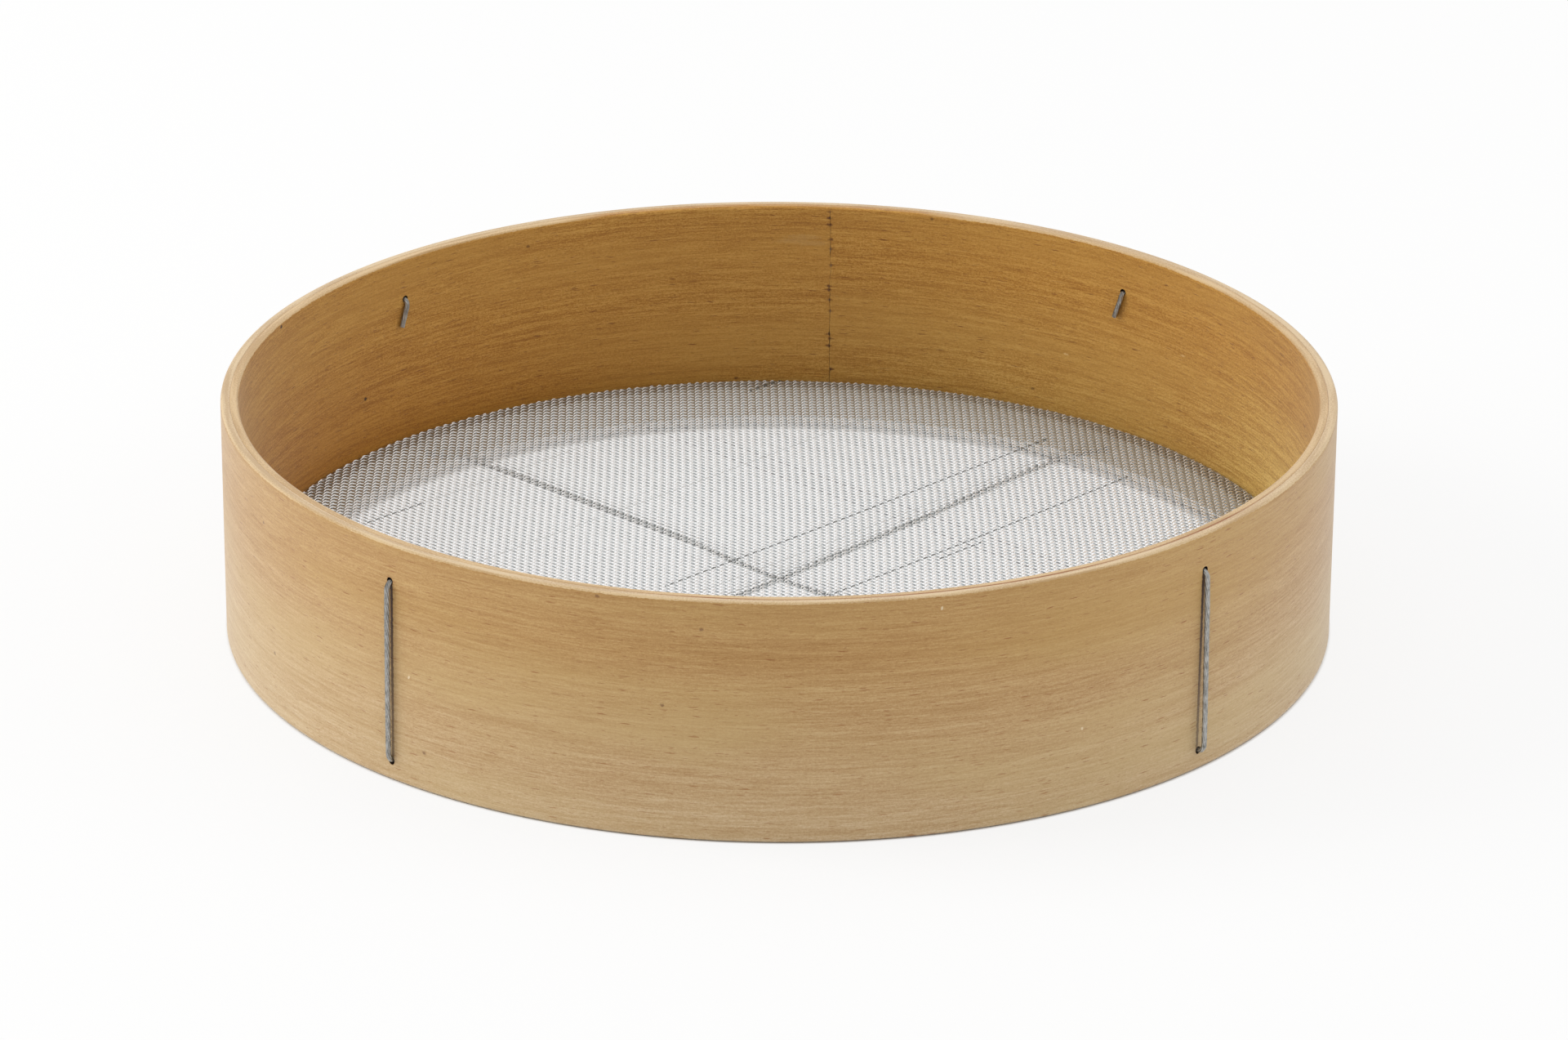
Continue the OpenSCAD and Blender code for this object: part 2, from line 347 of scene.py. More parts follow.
def cloth_wires(rng):
    """Each wire's path and upward direction, its family, its offset, and its places and rise along it."""
    full_r = FLAT_R + SHOULDER_R * pi / 2 + (MESH_MID - SHOULDER_R - HEM_Z)
    half = int(full_r / PITCH)
    index = np.arange(-half, half)
    jitter = {family: rng.normal(0, JITTER, len(index)) * PITCH for family in (0, 1)}
    routes = []
    for family in (0, 1):
        turn = radians((45, -45)[family] + WEAVE_TURN)
        along = np.array([cos(turn), sin(turn)])
        aside = np.array([-sin(turn), cos(turn)])
        for n, i in enumerate(index):
            offset = (i + 0.5) * PITCH + jitter[family][n]
            if abs(offset) > full_r - 1:
                continue
            reach = np.sqrt(full_r ** 2 - offset ** 2)
            steps = int(reach / PITCH * STEPS_PER_PITCH)
            u = np.arange(-steps, steps + 1) * PITCH / STEPS_PER_PITCH
            if family == 0:
                rise = (-1) ** (i % 2) * np.cos(pi * (u / PITCH - 0.5))
            else:
                rise = -(-1) ** (i % 2) * np.cos(pi * (-u / PITCH - 0.5))
            x = u * along[0] + offset * aside[0]
            y = u * along[1] + offset * aside[1]
            dx, dy = drift(x, y)
            path, up = fold(x + dx, y + dy, rise * CRIMP[family])
            routes.append((path, up, family, offset, u, rise))
    return routes


# Stretches of wire that the photograph shows darker: family, offset from the middle, start and end along it
DARK_WIRES = (
    (0, 13.6, -30, 124), (0, -22.4, -4, 117), (0, -25.6, 34, 52), (0, 99.5, 90, 106), (0, 102.8, -56, -36),
)


def cloth(rng):
    made = []
    routes = cloth_wires(rng)
    for family, name in ((0, "warp_wires"), (1, "weft_wires")):
        mine = [r for r in routes if r[2] == family]
        points, faces = tubes([(r[0], r[1]) for r in mine], WIRE_D / 2, WIRE_SIDES)
        piece = make_object(name, points, faces)
        shade = np.concatenate([wire_shade(r, rng) for r in mine])
        for finish in WIRE_FINISH[family]:
            piece.data.materials.append(finish)
        piece.data.polygons.foreach_set("material_index", shade.astype(np.int32))
        made.append(piece)
    return made


def wire_shade(route, rng):
    """The finish of each face of one wire, as its place in its family's list: painted light and shade on the
    knuckles on top, lit on the warp and shaded on the weft.
    """
    path, _, family, offset, u, rise = route
    pick = rng.uniform()
    wear_and_knuckle_shade = 1 if pick < 0.5 else 2 if pick < 0.97 else 3
    # painted shade on the weft's knuckles on top, which take its grey finishes, while the warp's take its lit
    # ones
    shade = np.where(rise[:-1] + rise[1:] > -0.2, wear_and_knuckle_shade, 0)
    # towards the wall at the back a painted reflection of the wood: the weft brown and the warp bright
    x, y = path[:-1, 0], path[:-1, 1]
    painted_reflection_zone = np.hypot(x, y + REFLECTION_BAND_W) > RING_IN_R
    if family == 1:
        shade[painted_reflection_zone] = np.where(shade[painted_reflection_zone] > 0, 5, 2)
    else:
        shade[painted_reflection_zone & (shade > 1)] = 1
    for dark_family, dark_offset, start, end in DARK_WIRES:
        if family == dark_family and abs(offset - dark_offset) < PITCH / 2:
            shade[(u[:-1] > start) & (u[:-1] < end) & (shade > 0)] = 4
    return np.repeat(shade, WIRE_SIDES)


# The cross wires: strands that overlap a little and turn once over each lay
CABLE_D = 1.4
STRAND_D = CABLE_D / 3
STRAND_R, STRAND_OUT = STRAND_D / 2 * 1.32, STRAND_D * 0.86
STRAND_SIDES = 10
LAY = 15.0
CABLE_STEP = 0.25
EASINGS = 6
# Bends at the upper hole's tail and at the stitch's two ends
BEND_R, SOFT_BEND_R = 1.5, 2.0
BEND_STEPS = 12
TAIL_L = 7.6
TAIL_OFF = CABLE_D / 2 + 0.2
TAIL_TURN = 0.9
# How far a stitch stands off the hoop at its foot and at its top, and bows out between
STAND_OFFS = (1.1, 1.1)
RIGHT_STAND_OFFS = (1.9, 0.85)
STITCH_BOW = 0.12
STITCH_SHARES = (0.2, 0.4, 0.6, 0.8)
# How far a wire rests below the middle of its upper hole
HOLE_REST = 0.1
# The run under the mesh: its start, its points, the lengths of levelling out and of the dip, and the bow
RUN_START, RUN_POINTS = 3, 60
LEVEL_L, DIP_L = 34.0, 40.0
BOW_OFF, BOW_L = 23.0, 65.0
A_BOW, B_BOW = 2.2, 0.4
WIRE_PLAY = 0.05
WIRE_TOP = MESH_TOP - MESH_T - WIRE_PLAY - CABLE_D / 2
DIP_DEPTH = CABLE_D + WIRE_PLAY


def bend_points(r0, z0, d0, d1, az, radius):
    """A bend in the plane of radius and height at one azimuth, from direction d0 to d1 in degrees."""
    d = np.radians(np.linspace(d0, d1, BEND_STEPS))
    return [polar(r0 + radius * (sin(a) - sin(d[0])), az, z0 + radius * (cos(d[0]) - cos(a))) for a in d]


def hole_height(r):
    """Height of a low hole's middle line at radius r."""
    return LOW_HOLE_Z + (OUTER_R - r) * tan(radians(LOW_HOLE_SLOPE))


def wire_end(low_az, up_az, up_z, low_off, up_off):
    """From inside the ring out through the low hole, up the outside, in through the high hole and down.

    The stitch's middle line stands low_off clear of the hoop at its foot and up_off at its top.
    """
    turn_r = OUTER_R + low_off - SOFT_BEND_R * (1 + sin(radians(LOW_HOLE_SLOPE)))
    up_z -= HOLE_REST
    stitch = []
    for share in STITCH_SHARES:
        out = OUTER_R + low_off + (up_off - low_off) * share + STITCH_BOW
        stitch.append(polar(out, low_az + (up_az - low_az) * share, LOW_HOLE_Z + (up_z - LOW_HOLE_Z) * share))
    return (
        [polar(RING_IN_R, low_az, hole_height(RING_IN_R))]
        + bend_points(turn_r, hole_height(turn_r), -LOW_HOLE_SLOPE, 90, low_az, SOFT_BEND_R)
        + stitch
        + bend_points(OUTER_R + up_off, up_z - SOFT_BEND_R, 90, 180, up_az, SOFT_BEND_R)
        + bend_points(INNER_R - TAIL_OFF + BEND_R, up_z, 180, 270, up_az, BEND_R)
        + [polar(INNER_R - TAIL_OFF, up_az + TAIL_TURN, up_z - TAIL_L)]
    )


def cable_route(front_low, front_up, front_offs, back_low, back_up, depth, bow):
    """A cross wire's middle line from tail to tail, with its dip under the mesh and its bow to the front."""
    front, back = polar(RING_IN_R, front_low, 0), polar(RING_IN_R, back_low, 0)
    span = np.linalg.norm(back - front)
    low = hole_height(RING_IN_R)
    middle = []
    for u in np.linspace(RUN_START, span - RUN_START, RUN_POINTS):
        k = max(0, 1 - min(u, span - u) / LEVEL_L)
        s = (u - span / 2) / DIP_L
        dip = depth * (1 - s * s) ** 2 if abs(s) < 1 else 0
        at = front + (back - front) * u / span
        at[1] -= bow * max(0, 1 - ((u - span / 2 - BOW_OFF) / BOW_L) ** 2)
        middle.append(np.array([at[0], at[1], WIRE_TOP - (WIRE_TOP - low) * k * k - dip]))
    front_end = wire_end(front_low, front_up, FRONT_HOLE_Z, *front_offs)
    back_end = wire_end(back_low, back_up, BACK_HOLE_Z, *STAND_OFFS)
    return np.array(front_end[::-1] + middle + back_end)


def even_steps(route):
    """The route at even steps, with its corners a little eased, and each step's place along it."""
    length = np.concatenate([[0], np.cumsum(np.linalg.norm(np.diff(route, axis=0), axis=1))])
    at = np.linspace(0, length[-1], int(length[-1] / CABLE_STEP))
    path = np.stack([np.interp(at, length, route[:, i]) for i in range(3)], -1)
    for _ in range(EASINGS):
        path[1:-1] = (path[:-2] + path[1:-1] * 2 + path[2:]) / 4
    return path, at


def cable(name, route, rng):
    """Six strands twisted round a seventh, in S lay, along the route."""
    path, at = even_steps(route)
    tangent = unit(np.gradient(path, axis=0))
    normal = np.empty_like(path)
    normal[0] = unit(np.cross(tangent[0], [0.3, 0.2, 1.0]))
    for i in range(1, len(path)):
        across = normal[i - 1] - tangent[i] * (normal[i - 1] @ tangent[i])
        normal[i] = across / np.linalg.norm(across)
    binormal = np.cross(tangent, normal)
    phase = -2 * pi * at / LAY + 0.25 * np.sin(at / 37)
    strands = [(path, normal)]
    for n in range(6):
        a = phase + n * pi / 3 + rng.normal(0, 0.03)
        out = np.cos(a)[:, None] * normal + np.sin(a)[:, None] * binormal
        strands.append((path + STRAND_OUT * out, out))
    return make_object(name, *tubes(strands, STRAND_R, STRAND_SIDES))


# Finishes
class Finish:
    """A material's nodes, one method for each kind that the finishes use."""

    def __init__(self, name):
        self.material = bpy.data.materials.new(name)
        self.material.use_nodes = True
        self.tree = self.material.node_tree
        self.shader = self.tree.nodes["Principled BSDF"]

    def add(self, kind, inputs, **settings):
        node = self.tree.nodes.new(kind)
        for key, value in settings.items():
            setattr(node, key, value)
        for socket, value in inputs.items():
            self.put(node.inputs[socket], value)
        return node

    def put(self, socket, value):
        if isinstance(value, bpy.types.NodeSocket):
            self.tree.links.new(value, socket)
        else:
            socket.default_value = value

    def set(self, **values):
        for key, value in values.items():
            self.put(self.shader.inputs[key.replace("_", " ")], value)

    def math(self, operation, a, b=0.0):
        return self.add("ShaderNodeMath", {0: a, 1: b}, operation=operation).outputs[0]

    def grain(self):
        return self.add("ShaderNodeUVMap", {}, uv_map="grain").outputs[0]

    def place(self):
        return self.add("ShaderNodeTexCoord", {}).outputs["Object"]

    def stretch(self, vector, scale, move=(0, 0, 0)):
        return self.add("ShaderNodeMapping", {0: vector, "Scale": scale, "Location": move}).outputs[0]

    def noise(self, vector, detail=2.0, roughness=0.5, distortion=0.0):
        return self.add("ShaderNodeTexNoise", {"Vector": vector, "Scale": 1.0, "Detail": detail,
                                               "Roughness": roughness, "Distortion": distortion}).outputs[0]

    def spread(self, value, low, high, to_low=0.0, to_high=1.0):
        return self.add("ShaderNodeMapRange", {0: value, 1: low, 2: high, 3: to_low, 4: to_high}).outputs[0]

    def mix(self, factor, a, b, blend="MIX"):
        node = self.add("ShaderNodeMix", {}, data_type="RGBA", blend_type=blend)
        self.put(node.inputs[0], factor)
        self.put(node.inputs[6], a)
        self.put(node.inputs[7], b)
        return node.outputs[2]

    def flecks(self, grain, size, bare, move):
        """Short dashes along the grain in cells of that size, with the share of bare cells."""
        waver = self.add("ShaderNodeTexNoise", {
            "Vector": self.stretch(grain, (1 / 4, 1 / 1.5, 1)), "Scale": 1.0}).outputs["Color"]
        bent = self.add("ShaderNodeVectorMath", {0: grain, 1: waver}, operation="ADD")
        cells = self.add("ShaderNodeTexVoronoi", {
            "Vector": self.stretch(bent.outputs[0], (1 / size[0], 1 / size[1], 1), move), "Scale": 1.0})
        pick = self.add("ShaderNodeSeparateColor", {0: cells.outputs["Color"]})
        reach = self.spread(pick.outputs[1], 0.0, 1.0, 0.12, 0.34)
        near = self.spread(self.math("DIVIDE", cells.outputs["Distance"], reach), 0.45, 1.0, 1.0, 0.0)
        return self.math("MULTIPLY", near, self.spread(pick.outputs[0], bare, 1.0, 0.0, 1.0))

    def spots(self, grain, size, places):
        """A soft round or long spot of that size, in millimetres, at each place on the grain's map."""
        shape = (1 / size[0], 1 / size[1], 1)
        wobble = self.add("ShaderNodeTexNoise", {"Vector": grain, "Scale": 1.6, "Detail": 2.0}).outputs[0]
        scaled = self.stretch(grain, shape)
        spot = 0.0
        for along, across in places:
            point = (along * shape[0], across * shape[1], 0)
            away = self.add("ShaderNodeVectorMath", {0: scaled, 1: point}, operation="DISTANCE")
            away = self.math("ADD", away.outputs["Value"], self.math("MULTIPLY", wobble, 0.8))
            spot = self.math("MAXIMUM", self.spread(away, 0.7, 1.1, 1.0, 0.0), spot)
        return spot

    def wear_and_shadow_lines(self, along, across, lines):
        """Narrow ragged lines up the grain's map, each given by its lower and its upper end."""
        ragged = self.noise(self.add("ShaderNodeCombineXYZ", {0: along, 1: across}).outputs[0], 2)
        wear_and_contact_shadow = 0.0
        for (low_along, low), (up_along, up) in lines:
            lean = (up_along - low_along) / (up - low)
            middle = self.math("ADD", self.math("MULTIPLY", across, lean), low_along - low * lean)
            away = self.math("ABSOLUTE", self.math("SUBTRACT", along, middle))
            edge = self.math("ADD", away, self.math("MULTIPLY", ragged, 0.6))
            line = self.spread(edge, 0.65, 0.85, 1.0, 0.0)
            line = self.math("MULTIPLY", line, self.spread(across, low - 0.5, low + 0.5))
            line = self.math("MULTIPLY", line, self.spread(across, up + 0.5, up - 0.5))
            wear_and_contact_shadow = self.math("MAXIMUM", line, wear_and_contact_shadow)
        return self.math("MULTIPLY", wear_and_contact_shadow, self.spread(across, 10, 45, 0.6, 0.95))

    def bump(self, height, distance, strength):
        return self.add("ShaderNodeBump", {"Height": height, "Distance": distance,
                                           "Strength": strength}).outputs[0]


def shade(r, g, b):
    """A colour as it shows on screen, 0 to 255, in the scene's linear terms."""
    def linear(c):
        c /= 255
        return c / 12.92 if c <= 0.04045 else ((c + 0.055) / 1.055) ** 2.4
    return (linear(r), linear(g), linear(b), 1)


def beech(name, colours, places, rim_worn, ply_t, move, coarse, streaky, gloss, glue_middle, lines=()):
    """Bare beech: slow bands, short wavy streaks and fibres along the grain, flecks, specks and a cut rim.

    The rim takes the wall's colour over the stretches in rim_worn, each its middle and its half length in
    millimetres round the hoop. It has a line of glue where the plies meet.
    """
    f = Finish(name)
    grain = f.grain()
    along, across, _ = f.add("ShaderNodeSeparateXYZ", {0: grain}).outputs
    bands = f.noise(f.stretch(grain, (1 / 330, 1 / 9, 1), move), 2)
    streaks = f.noise(f.stretch(grain, (1 / 60, 1 / 1.6, 1), move), 3)
    ripple = f.noise(f.stretch(grain, (1 / 12, 1 / 0.62, 1), move), 2, 0.6, 0.6)
    fibres = f.noise(f.stretch(grain, (1 / 2.2, 1 / 0.24, 1), move), 1)
    mottle = f.noise(f.stretch(grain, (1 / 0.9, 1 / 0.5, 1), move), 1)
    grit = f.noise(f.stretch(grain, (1 / 0.45, 1 / 0.36, 1), move), 1)
    tone = f.math("MULTIPLY", bands, 0.25)
    shares = ((streaks, 0.45 * streaky), (ripple, 0.75 * streaky), (fibres, 0.4 * streaky), (mottle, coarse),
              (grit, coarse * 1.1))
    for part, share in shares:
        tone = f.math("ADD", tone, f.math("MULTIPLY", part, share))
    mean = 0.5 * (0.25 + sum(share for _, share in shares))
    tone = f.spread(tone, mean - 0.3, mean + 0.3)
    colour = f.mix(f.spread(tone, 0.0, 0.5), colours["dark"], colours["middle"])
    colour = f.mix(f.spread(tone, 0.5, 1.0), colour, colours["light"])
    clouds = f.noise(f.stretch(grain, (1 / 90, 1 / 22, 1), move), 2)
    colour = f.mix(f.spread(clouds, 0.42, 0.66, 0.0, 0.5), colour, colours["cloud"])
    long_flecks = f.flecks(grain, (6.0, 0.62), 0.3, move)
    short_flecks = f.flecks(grain, (2.6, 0.4), 0.25, move)
    flecks = f.math("MAXIMUM", f.math("MULTIPLY", long_flecks, 1.0), f.math("MULTIPLY", short_flecks, 0.75))
    colour = f.mix(flecks, colour, colours["fleck"])
    # painted bounce light and shade at the foot of the ply, fading out 50 mm up: paler and greyer low down,
    # and on the inner ply deeper orange on the left and paler to the right
    from_left, _, height = f.add("ShaderNodeSeparateXYZ", {0: f.place()}).outputs
    foot_shading = f.mix(f.spread(from_left, -0.13, 0.06), colours["foot_shading_left"], colours["foot_shading_right"])
    foot_shading = f.mix(f.spread(from_left, 0.12, 0.14), foot_shading, colours["foot_shading_end"])
    foot_shading = f.mix(f.spread(height, 0.0, 0.05), foot_shading, (1, 1, 1, 1))
    colour = f.mix(1.0, colour, foot_shading, "MULTIPLY")
    ragged = f.math("ADD", height, f.math("MULTIPLY", f.math("SUBTRACT", mottle, 0.5), 0.5 * MM))
    cut = f.spread(ragged, (HOOP_H - 0.6 * EDGE_R) * MM, (HOOP_H - 0.4 * EDGE_R) * MM)
    pores = f.noise(f.stretch(grain, (1 / 34, 1 / 2.0, 1), move), 2)
    speckle = f.noise(f.stretch(grain, (1 / 0.55, 1 / 0.5, 1), move), 3, 0.75)
    pale = f.mix(f.spread(f.math("ADD", speckle, pores), 0.88, 1.08), colours["rim_dark"], colours["rim"])
    wear_and_knuckle_shade = 0.0
    for middle, half in rim_worn:
        wear_and_knuckle_shade = f.math("MAXIMUM", wear_and_knuckle_shade, f.spread(f.math("ABSOLUTE", f.math("SUBTRACT", along, middle)),
                                                half, half - 16))
    colour = f.mix(f.math("MULTIPLY", cut, f.math("SUBTRACT", 1.0, wear_and_knuckle_shade)), colour, pale)
    glue = f.spread(across, HOOP_H + ply_t - 0.55, HOOP_H + ply_t - 0.25)
    patchy = f.spread(f.noise(f.stretch(grain, (1 / 26, 1, 1), move), 2), 0.35, 0.6, 0.35, 0.9)
    reach = f.math("ABSOLUTE", f.math("SUBTRACT", along, glue_middle))
    patchy = f.math("MULTIPLY", patchy, f.spread(reach, GLUE_HALF - 20, GLUE_HALF + 10, 1.0, 0.1))
    colour = f.mix(f.math("MULTIPLY", glue, patchy), colour, colours["glue"])
    if lines:
        # dark lines beside the stitches: wear in the wood and a painted contact shadow of the wire
        colour = f.mix(f.wear_and_shadow_lines(along, across, lines), colour, colours["wear_and_contact_shadow"])
    for spot_colour, strength, size, spots in places:
        colour = f.mix(f.math("MULTIPLY", f.spots(grain, size, spots), strength), colour, spot_colour)
    f.set(Base_Color=colour, Roughness=f.spread(tone, 0, 1, 0.6, 0.48), Specular_IOR_Level=gloss)
    f.set(Sheen_Weight=0.35 * gloss / 0.5, Sheen_Roughness=0.45)
    rough = f.math("SUBTRACT", f.math("ADD", f.math("MULTIPLY", ripple, 1.4), fibres), flecks)
    f.set(Normal=f.bump(rough, 0.00008, 0.6))
    return f.material


def metal(name, colour, roughness, metallic=1.0):
    f = Finish(name)
    f.set(Base_Color=(*colour, 1), Metallic=metallic, Roughness=roughness)
    return f.material


def zinc(name):
    """Dull galvanised wire: grey with paler and darker patches, and a painted shade that darkens it under the
    mesh.
    """
    f = Finish(name)
    patches = f.noise(f.stretch(f.place(), (900, 900, 500)), 3)
    fine = f.noise(f.stretch(f.place(), (4200, 4200, 1500)), 2)
    colour = f.mix(f.spread(patches, 0.35, 0.65), (0.18, 0.18, 0.17, 1), (0.4, 0.4, 0.385, 1))
    colour = f.mix(f.spread(fine, 0.3, 0.7, 0, 0.4), colour, (0.7, 0.7, 0.68, 1))
    place = f.add("ShaderNodeSeparateXYZ", {0: f.place()}).outputs
    away = f.math("SQRT", f.math("ADD", f.math("POWER", place[0], 2.0), f.math("POWER", place[1], 2.0)))
    # painted shade: the wire is darker where it lies under the mesh, inside the hoop
    low = f.spread(place[2], MESH_TOP * MM, (MESH_TOP + 1) * MM, 1.0, 0.0)
    under = f.math("MULTIPLY", low, f.spread(away, (INNER_R + 1) * MM, INNER_R * MM))
    colour = f.mix(under, colour, f.mix(1.0, colour, (0.6, 0.62, 0.6, 1), "MULTIPLY"))
    f.set(Base_Color=colour, Metallic=1.0, Roughness=f.spread(patches, 0.3, 0.7, 0.5, 0.34))
    return f.material


# Between its knuckles a wire keeps a plain bright finish. The knuckles of the warp are brighter than those of
# the weft: lit and shaded copies of one finish, painted light and shade
WIRE_UNSHADED = metal("wire_unshaded", (0.95, 0.95, 0.95), 0.45, 0.6)
WIRE_FINISH = (
    (WIRE_UNSHADED, metal("warp_bright", (1.0, 1.0, 1.0), 0.36, 0.35),
     metal("warp_plain", (0.97, 0.97, 0.97), 0.4, 0.35), metal("warp_dull", (0.8, 0.8, 0.79), 0.45, 0.5),
     metal("warp_dark", (0.26, 0.26, 0.25), 0.5)),
    (WIRE_UNSHADED, metal("weft_bright", (0.66, 0.7, 0.72), 0.5, 0.9),
     metal("weft_plain", (0.57, 0.61, 0.63), 0.55, 0.9), metal("weft_dull", (0.44, 0.46, 0.48), 0.6),
     # the weft's last finish is a painted reflection of the wood, for the strip by the back wall
     metal("weft_dark", (0.2, 0.2, 0.19), 0.6), metal("weft_painted_reflection", (0.5, 0.44, 0.35), 0.55, 0.9)),
)

# Each ply's torn joint: height, offset round the hoop and width of each pit
INNER_PITS = (
    (64.2, 0.2, 0.5), (62.3, 0.3, 1.3), (60.2, 0.3, 0.5), (55.7, 0.0, 0.5), (52.8, -0.3, 0.7),
    (47.8, -0.3, 1.7), (41.3, 0.3, 0.6), (40.2, 0.4, 0.9), (37.0, 0.3, 1.0), (33.6, -0.2, 0.7),
    (26.4, 0.6, 1.4), (25.0, -0.4, 0.8), (22.8, 0.3, 0.7), (15.5, -0.5, 0.5),
)
OUTER_PITS = ((58.0, 0.2, 0.8), (44.5, -0.3, 1.2), (30.1, 0.1, 0.6), (19.4, 0.4, 1.1), (7.7, -0.2, 0.7))
TORN_PLACES = [(end + offset, z) for end in (0, 2 * pi * PLY_R) for z, offset, _ in INNER_PITS]


def hole_painted_shade():
    """The end grain on the walls of the holes, painted dark as the shade inside them."""
    f = Finish("hole_painted_shade")
    f.set(Base_Color=shade(40, 22, 12), Roughness=0.9)
    return f.material


def on_grain(seam_az, places):
    """Places given by azimuth and height, on the grain's map of the ply whose ends meet at seam_az."""
    return [(radians((az - seam_az) % 360) * PLY_R, z) for az, z in places]


HOLES = [(az, LOW_HOLE_Z) for az in LOW_HOLES] + list(HIGH_HOLES)
HOLE_STAIN = (shade(96, 46, 14), 0.6, (1.7, 1.7))
# the walls of the holes are painted dark as their shade
HOLE_PAINTED_SHADE = hole_painted_shade()
# The glue line shows from azimuth 255 to 330, so its middle and its half length round the hoop
GLUE_AZ, GLUE_HALF = 292.5, radians(37.5) * PLY_R
OUTER_GLUE = on_grain(OUTER_SEAM_AZ, [(GLUE_AZ, 0)])[0][0]
INNER_GLUE = on_grain(INNER_SEAM_AZ, [(GLUE_AZ, 0)])[0][0]
# Where the stitches have rubbed into the outer ply and the wire's contact shadow is painted beside them: a
# little to one side of each pair of holes, in degrees
LINE_ASIDE = (0.2, -0.23, -0.2, 0.2)
LOW_ENDS = [(LOW_HOLES[i] + aside, LOW_HOLE_Z) for i, aside in zip((0, 2, 1, 3), LINE_ASIDE)]
HIGH_ENDS = [(az + aside, z) for (az, z), aside in zip(HIGH_HOLES, LINE_ASIDE)]
STITCH_LINES = tuple(zip(on_grain(OUTER_SEAM_AZ, LOW_ENDS), on_grain(OUTER_SEAM_AZ, HIGH_ENDS)))
OUTER_SPECKS = ((252.5, 64.3), (262.7, 57.8), (258.9, 36.5), (233.0, 10.8), (208.6, 17.6), (206.6, 52.6))
OUTER_NICKS = ((285.8, 62.0), (231.2, 30.5), (301.0, 22.5))
INNER_SPECKS = ((143.9, 28.1), (161.3, 64.4), (119.9, 59.8), (72.4, 64.2), (59.6, 17.1), (95.0, 12.5))
INNER_NICKS = ((38.0, 41.0), (55.3, 30.0))
INNER_CRACK = ((87.1, 60.5), (88.0, 60.7), (86.2, 60.4))
INNER_PALE = ((88.4, 55.0), (87.3, 56.2), (86.4, 54.4))
GLUE = shade(150, 88, 32)
# The painted bounce light that the outer ply takes at its foot, paler and greyer low down
OUTER_FOOT_SHADING = (1.17, 1.44, 2.37, 1)
OUTER_BEECH = beech(
    "beech_outer",
    {"dark": shade(164, 120, 62), "middle": shade(181, 140, 82), "light": shade(197, 160, 102),
     "cloud": shade(188, 152, 88), "fleck": shade(152, 98, 42),
     "foot_shading_left": OUTER_FOOT_SHADING, "foot_shading_right": OUTER_FOOT_SHADING, "foot_shading_end": OUTER_FOOT_SHADING,
     "rim": shade(212, 184, 140), "rim_dark": shade(186, 152, 104), "glue": GLUE,
     "wear_and_contact_shadow": shade(56, 24, 8)},
    ((*HOLE_STAIN, on_grain(OUTER_SEAM_AZ, HOLES)),
     (shade(96, 50, 20), 0.6, (1.0, 0.8), on_grain(OUTER_SEAM_AZ, OUTER_SPECKS)),
     (shade(232, 214, 180), 0.7, (0.6, 0.9), on_grain(OUTER_SEAM_AZ, OUTER_NICKS))),
    (), OUTER_R - PLY_R, (3, 1, 0), 0.4, 1.0, 0.5, OUTER_GLUE, STITCH_LINES)
INNER_BEECH = beech(
    "beech_inner",
    {"dark": shade(158, 106, 38), "middle": shade(181, 130, 53), "light": shade(199, 151, 72),
     "cloud": shade(186, 138, 62), "fleck": shade(128, 78, 26),
     "foot_shading_left": (0.82, 0.62, 0.1, 1), "foot_shading_right": (1.1, 1.3, 1.75, 1), "foot_shading_end": (1.45, 2.0, 2.9, 1),
     "rim": shade(210, 178, 130), "rim_dark": shade(184, 148, 98), "glue": GLUE},
    ((*HOLE_STAIN, on_grain(INNER_SEAM_AZ, HOLES)),
     (shade(70, 30, 8), 0.6, (1.1, 0.8), on_grain(INNER_SEAM_AZ, INNER_SPECKS)),
     (shade(40, 14, 4), 0.9, (1.2, 1.0), on_grain(INNER_SEAM_AZ, INNER_SPECKS[:2])),
     (shade(222, 190, 132), 0.6, (1.6, 0.5), on_grain(INNER_SEAM_AZ, INNER_NICKS)),
     (shade(124, 70, 22), 0.3, (9.0, 0.35), on_grain(INNER_SEAM_AZ, INNER_CRACK)),
     (shade(186, 150, 92), 0.35, (9.0, 1.6), on_grain(INNER_SEAM_AZ, INNER_PALE)),
     (shade(96, 42, 10), 0.5, (1.7, 0.6), TORN_PLACES),
     (shade(84, 34, 8), 0.55, (1.6, 0.9), TORN_PLACES[2::5] + TORN_PLACES[1::5])),
    ((20, 62), (2 * pi * PLY_R, 42)), INNER_PLY_T, (41, 17, 5), 0.75, 1.5, 0.35, INNER_GLUE)
ZINC = zinc("galvanised_strands")

# Pieces
rng = np.random.default_rng(SEED)
GLUED_EDGE_R = 0.14
INNER_ROWS, OUTER_ROWS = 110, 70
inner = ply("inner_ply", INNER_R, PLY_R, (EDGE_R, GLUED_EDGE_R), INNER_ROWS, INNER_SEAM_AZ, INNER_PITS, rng,
            "in", INNER_BEECH)
outer = ply("outer_ply", PLY_R, OUTER_R, (GLUED_EDGE_R, EDGE_R), OUTER_ROWS, OUTER_SEAM_AZ, OUTER_PITS, rng,
            "out", OUTER_BEECH)
for piece, node, slot in ((inner, "inner_hoop", "beech_inner"), (outer, "outer_hoop", "beech_outer")):
    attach(piece, "root")
    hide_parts(node)

for piece in cloth(rng):
    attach(piece, "root")
    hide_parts("wire_mesh")

cables = (
    cable("twisted_wire_a", cable_route(A_FRONT_LOW, A_FRONT_UP, STAND_OFFS, A_BACK_LOW, A_BACK_UP, 0, A_BOW),
          rng),
    cable("twisted_wire_b", cable_route(B_FRONT_LOW, B_FRONT_UP, RIGHT_STAND_OFFS, B_BACK_LOW, B_BACK_UP,
                                        DIP_DEPTH, B_BOW), rng),
)
for piece, node in zip(cables, ("cross_wire_a", "cross_wire_b")):
    piece.data.materials.append(ZINC)
    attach(piece, "root")
    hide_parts(node)


RING_GRAIN_R = 142.0


